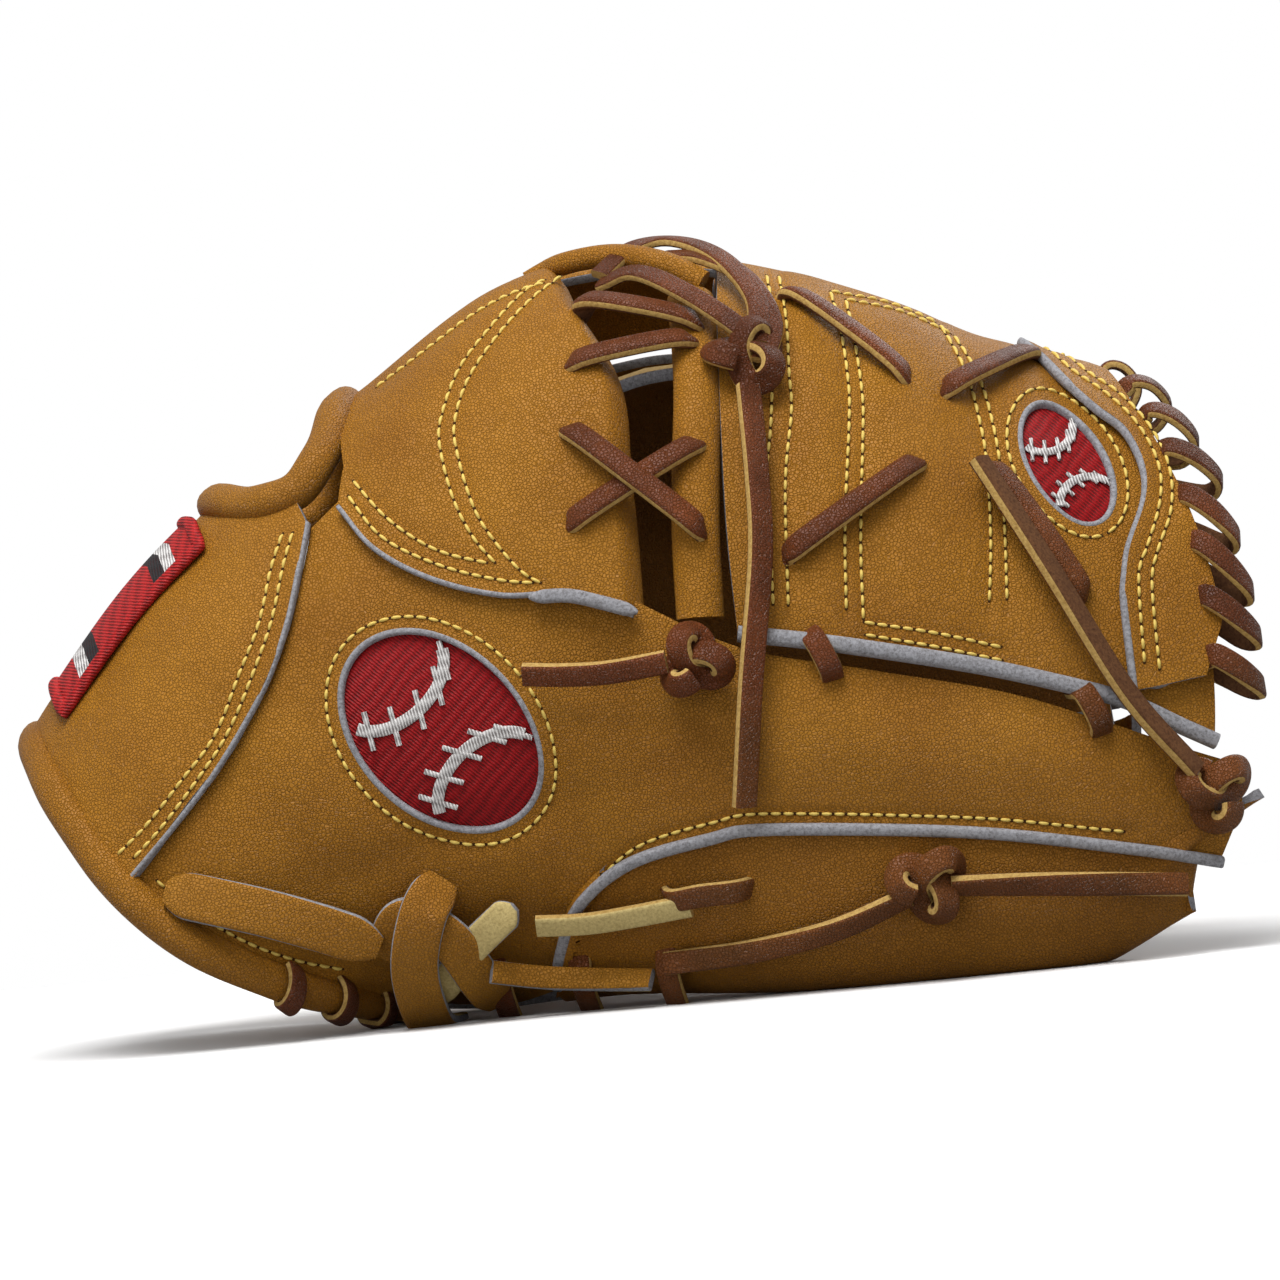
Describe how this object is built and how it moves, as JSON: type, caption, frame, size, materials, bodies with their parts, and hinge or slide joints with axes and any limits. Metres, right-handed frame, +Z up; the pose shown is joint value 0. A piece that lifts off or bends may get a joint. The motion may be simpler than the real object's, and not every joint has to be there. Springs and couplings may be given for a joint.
{
  "type": "baseball glove",
  "caption": "Laced leather baseball glove with separate finger stalls, a thumb stall and a closed web, resting palm side down.",
  "frame": {"origin": "middle of the underside, on the surface the glove rests on", "axes": "+X from the wrist to the fingertips, +Z up, -Y the thumb side"},
  "size_m": [0.2988, 0.1536, 0.182],
  "materials": {
    "shell_leather": "full-grain steer hide, golden tan, smooth",
    "palm_leather": "full-grain steer hide, golden tan, smooth",
    "brown_lace": "waxed rawhide lace, dark red-brown",
    "tan_lace": "rawhide strip, tan",
    "welt_leather": "raw cut leather edge, grey",
    "red_patch": "embroidered twill, red",
    "felt_pad": "wool felt pad",
    "lining_leather": "thin lining leather",
    "fleece_pad": "wool fleece"
  },
  "bodies": {
    "hand": {"wrist_strap": "shell_leather", "pinky_shell": "shell_leather", "crotch_panel": "shell_leather", "index_back": "shell_leather", "middle_back": "shell_leather", "ring_back": "shell_leather", "pinky_back": "shell_leather", "knuckle_bridge": "shell_leather", "web_back_panel": "shell_leather", "web_top_panel": "shell_leather", "web_base_roll": "shell_leather", "wrist_binding": "shell_leather", "opening_binding": "shell_leather", "palm_shell": "palm_leather", "web_front_panel": "palm_leather", "bar_lace_a": "brown_lace", "bar_lace_b": "brown_lace", "bar_lace_c": "brown_lace", "bar_lace_d": "brown_lace", "cross_lace_a": "brown_lace", "cross_lace_b": "brown_lace", "cross_lace_c": "brown_lace", "cross_lace_d": "brown_lace", "edge_lace": "brown_lace", "heel_lace": "brown_lace", "fingertip_lace": "brown_lace", "web_knot": "brown_lace", "web_tail": "brown_lace", "pinky_loop": "tan_lace", "wrist_label": "red_patch", "web_patch": "red_patch", "palm_pad": "felt_pad", "hand_lining": "lining_leather", "stall_lining": "lining_leather", "wrist_fleece": "fleece_pad"},
    "thumb": {"thumb_back": "shell_leather", "thumb_front": "shell_leather", "thumb_welt": "welt_leather", "thumb_felt": "felt_pad", "thumb_lining": "lining_leather", "thumb_patch": "red_patch", "thumb_loop": "tan_lace", "gap_knot": "brown_lace", "gap_tail": "brown_lace", "tip_knot": "brown_lace", "tip_tail": "brown_lace", "low_knot": "brown_lace", "low_tail_a": "brown_lace", "low_tail_b": "brown_lace", "flesh_tail": "tan_lace", "strap_flap": "tan_lace", "strap_knot": "tan_lace", "strap_tail": "tan_lace"}
  },
  "joints": [
    {"name": "thumb_close", "type": "hinge", "parent": "hand", "child": "thumb", "pos_m": [-0.076, -0.026, 0.065], "axis": [-0.1803, -0.0651, 0.9815], "range_deg": [-8, 8], "deforming": ["wrist_strap", "wrist_binding", "crotch_panel", "heel_lace", "web_tail", "gap_tail", "tip_tail", "low_tail_a", "low_tail_b", "flesh_tail", "strap_tail"]}
  ]
}
